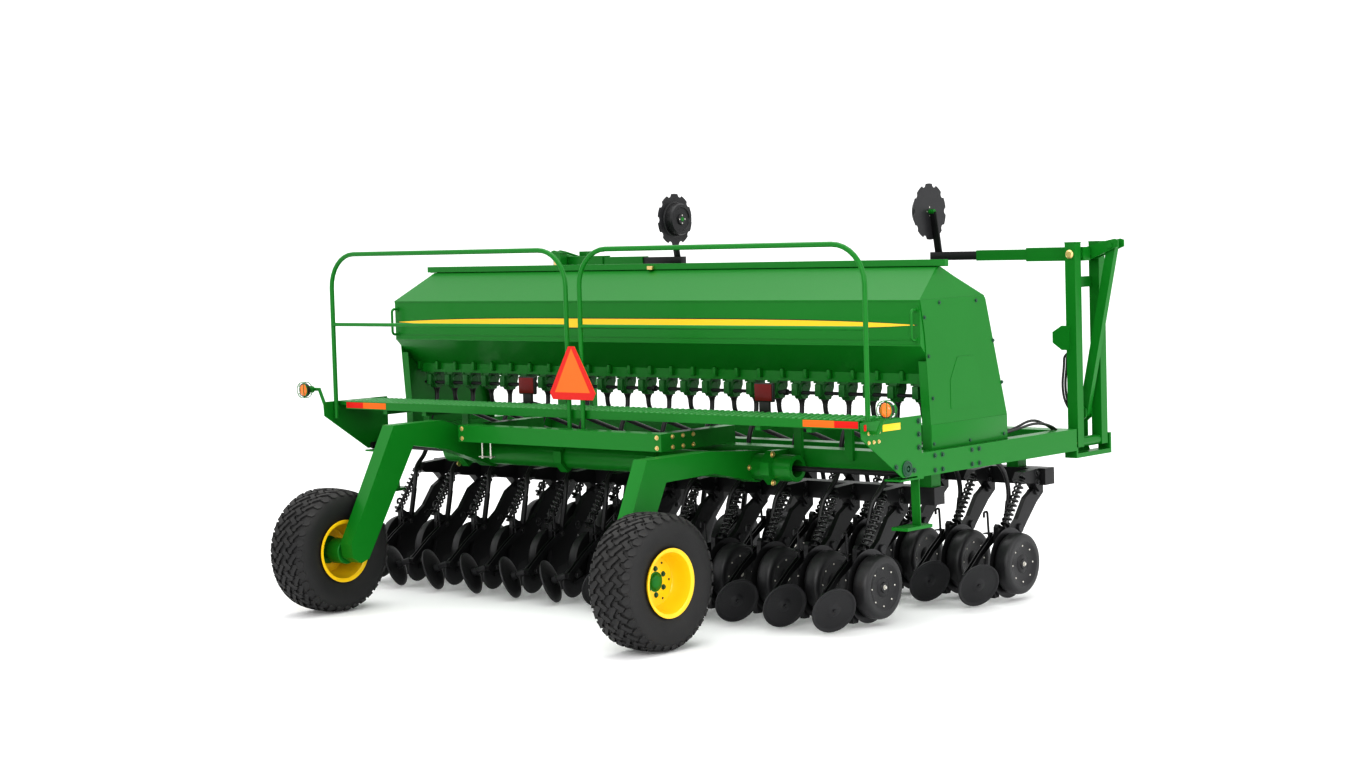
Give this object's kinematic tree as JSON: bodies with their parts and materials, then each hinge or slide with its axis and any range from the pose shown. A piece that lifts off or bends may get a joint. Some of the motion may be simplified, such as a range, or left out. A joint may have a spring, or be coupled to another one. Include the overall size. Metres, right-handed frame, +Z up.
{
  "type": "towed box seed drill",
  "caption": "Towed grain drill with a long seed box, ranks of disc openers, a rear walkboard with handrails, lift wheels and folded row markers.",
  "frame": {"origin": "on the floor under the middle of the drill's length and width", "axes": "+X to the machine's right, +Y forward to the hitch, +Z up"},
  "size_m": [5.2996, 5.602, 2.744],
  "materials": {
    "green_paint": "gloss",
    "yellow_paint": "gloss",
    "black_paint": "satin",
    "black_casting": "satin",
    "meter_casting": "satin",
    "disc_steel": "satin",
    "spring_steel": "satin",
    "wheel_rubber": "matte",
    "hose_rubber": "satin",
    "black_plastic": "matte",
    "tyre": "matte",
    "amber_lens": "gloss",
    "red_lens": "gloss",
    "sign_orange": "satin"
  },
  "bodies": {
    "frame": {"amber_lamps": "amber_lens", "closing_arms": "black_paint", "closing_wheels": "black_casting", "cross_tubes": "green_paint", "drive_shafts": "black_paint", "end_panels": "green_paint", "gauge_wheels": "wheel_rubber", "grab_handles": "green_paint", "handrails": "green_paint", "hangers": "green_paint", "hitch": "black_paint", "jack": "black_paint", "lamp_arms": "green_paint", "marker_hinges": "green_paint", "meter_rail": "green_paint", "opener_arms": "black_paint", "opener_discs": "disc_steel", "opener_springs": "spring_steel", "press_wheels": "wheel_rubber", "rear_beam": "green_paint", "rear_sign": "sign_orange", "seed_box": "green_paint", "seed_hoses": "hose_rubber", "seed_meters": "meter_casting", "seed_outlets": "black_plastic", "shaft_bearings": "green_paint", "side_beams": "green_paint", "side_plates": "green_paint", "steps": "green_paint", "tail_lamps": "red_lens", "tongue": "green_paint", "toolbars": "black_paint", "walkboard": "green_paint", "walkboard_stays": "green_paint"},
    "lid": {"lid": "green_paint"},
    "wheel_lift": {"wheel_arms": "green_paint"},
    "wheel_left": {"tyre_left": "tyre", "rim_left": "yellow_paint", "hub_left": "green_paint"},
    "wheel_right": {"tyre_right": "tyre", "rim_right": "yellow_paint", "hub_right": "green_paint"},
    "marker_mast_left": {"marker_mast_left": "green_paint"},
    "marker_mast_right": {"marker_mast_right": "green_paint"},
    "marker_link_left": {"marker_link_left": "green_paint"},
    "marker_link_right": {"marker_link_right": "green_paint"},
    "marker_arm_left": {"marker_arm_left": "green_paint"},
    "marker_arm_right": {"marker_arm_right": "green_paint"},
    "marker_disc_left": {"marker_disc_left": "black_casting"},
    "marker_disc_right": {"marker_disc_right": "black_casting"}
  },
  "joints": [
    {"name": "lid_hinge", "type": "hinge", "parent": "frame", "child": "lid", "pos_m": [0, -0.182, 2.021], "axis": [-1, 0, 0], "range_deg": [0, 100]},
    {"name": "wheel_lift_turn", "type": "hinge", "parent": "frame", "child": "wheel_lift", "pos_m": [0, -1.132, 0.966], "axis": [1, 0, 0], "range_deg": [-4, 8]},
    {"name": "wheel_left_spin", "type": "hinge", "parent": "wheel_lift", "child": "wheel_left", "pos_m": [-1.438, -2.39, 0.411], "axis": [1, 0, 0], "continuous": true},
    {"name": "marker_left_fold", "type": "hinge", "parent": "frame", "child": "marker_mast_left", "pos_m": [-2.352, 0.99, 0.985], "axis": [0, -1, 0], "range_deg": [0, 90]},
    {"name": "marker_left_unfold", "type": "hinge", "parent": "marker_mast_left", "child": "marker_arm_left", "pos_m": [-2.352, 0.962, 2.238], "axis": [0, -1, 0], "range_deg": [0, 90]},
    {"name": "marker_left_link_turn", "type": "hinge", "parent": "frame", "child": "marker_link_left", "pos_m": [-2.3, 1.06, 1.172], "axis": [0, -1, 0], "range_deg": [0, 90]},
    {"name": "marker_left_spin", "type": "hinge", "parent": "marker_arm_left", "child": "marker_disc_left", "pos_m": [-1.157, 0.902, 2.549], "axis": [1, 0, 0], "continuous": true},
    {"name": "wheel_right_spin", "type": "hinge", "parent": "wheel_lift", "child": "wheel_right", "pos_m": [1.438, -2.39, 0.411], "axis": [1, 0, 0], "continuous": true},
    {"name": "marker_right_fold", "type": "hinge", "parent": "frame", "child": "marker_mast_right", "pos_m": [2.352, 0.99, 0.985], "axis": [0, 1, 0], "range_deg": [0, 90]},
    {"name": "marker_right_unfold", "type": "hinge", "parent": "marker_mast_right", "child": "marker_arm_right", "pos_m": [2.352, 0.962, 2.238], "axis": [0, 1, 0], "range_deg": [0, 90]},
    {"name": "marker_right_link_turn", "type": "hinge", "parent": "frame", "child": "marker_link_right", "pos_m": [2.3, 1.06, 1.172], "axis": [0, 1, 0], "range_deg": [0, 90]},
    {"name": "marker_right_spin", "type": "hinge", "parent": "marker_arm_right", "child": "marker_disc_right", "pos_m": [1.157, 0.902, 2.549], "axis": [1, 0, 0], "continuous": true}
  ],
  "couplings": [
    {"joint": "marker_left_unfold", "follows": "marker_left_fold", "ratio": 1},
    {"joint": "marker_left_link_turn", "follows": "marker_left_fold", "ratio": 1},
    {"joint": "marker_right_unfold", "follows": "marker_right_fold", "ratio": 1},
    {"joint": "marker_right_link_turn", "follows": "marker_right_fold", "ratio": 1}
  ]
}
